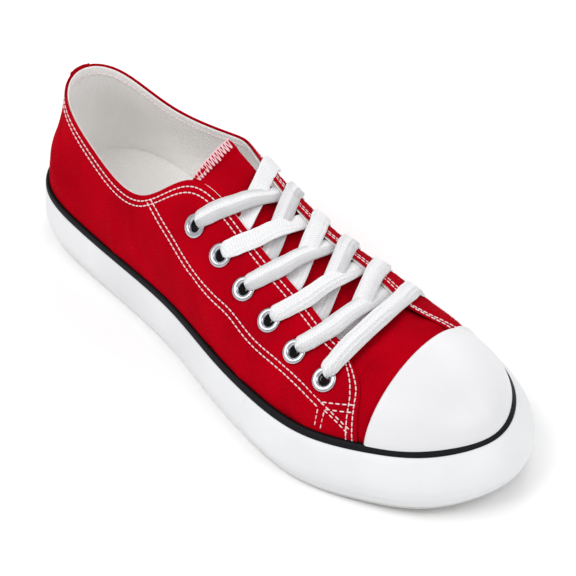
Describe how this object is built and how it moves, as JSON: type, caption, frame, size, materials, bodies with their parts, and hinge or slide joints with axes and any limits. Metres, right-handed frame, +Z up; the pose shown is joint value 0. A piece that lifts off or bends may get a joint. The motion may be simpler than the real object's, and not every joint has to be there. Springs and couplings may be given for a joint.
{
  "type": "lace-up sneaker",
  "caption": "Low canvas lace-up sneaker for a right foot, with a rubber toe cap, a white rubber sidewall with a dark line, metal eyelets and flat crossed laces.",
  "frame": {"origin": "bottom centre of the shoe's box, on the ground that the sole stands on", "axes": "+X toward the toe, +Y toward the inner (medial) side of the foot, +Z up"},
  "size_m": [0.2712, 0.1018, 0.0746],
  "materials": {
    "canvas": "matte",
    "rubber": "satin",
    "toe_rubber": "satin",
    "line": "satin",
    "tread": "matte",
    "lining": "matte",
    "lace": "matte",
    "metal": "polished"
  },
  "bodies": {
    "root": {"outsole": "tread", "foxing": "rubber", "foxing_stripe": "line", "toe_bumper": "rubber", "toe_cap": "toe_rubber", "upper": "canvas", "tongue": "canvas", "insole": "lining", "eyelet_lateral_1": "metal", "eyelet_lateral_2": "metal", "eyelet_lateral_3": "metal", "eyelet_lateral_4": "metal", "eyelet_lateral_5": "metal", "eyelet_lateral_6": "metal", "eyelet_medial_1": "metal", "eyelet_medial_2": "metal", "eyelet_medial_3": "metal", "eyelet_medial_4": "metal", "eyelet_medial_5": "metal", "eyelet_medial_6": "metal", "lace_crossing_1": "lace", "lace_crossing_2": "lace", "lace_crossing_3": "lace", "lace_crossing_4": "lace", "lace_crossing_5": "lace", "lace_bar": "lace"}
  },
  "joints": []
}
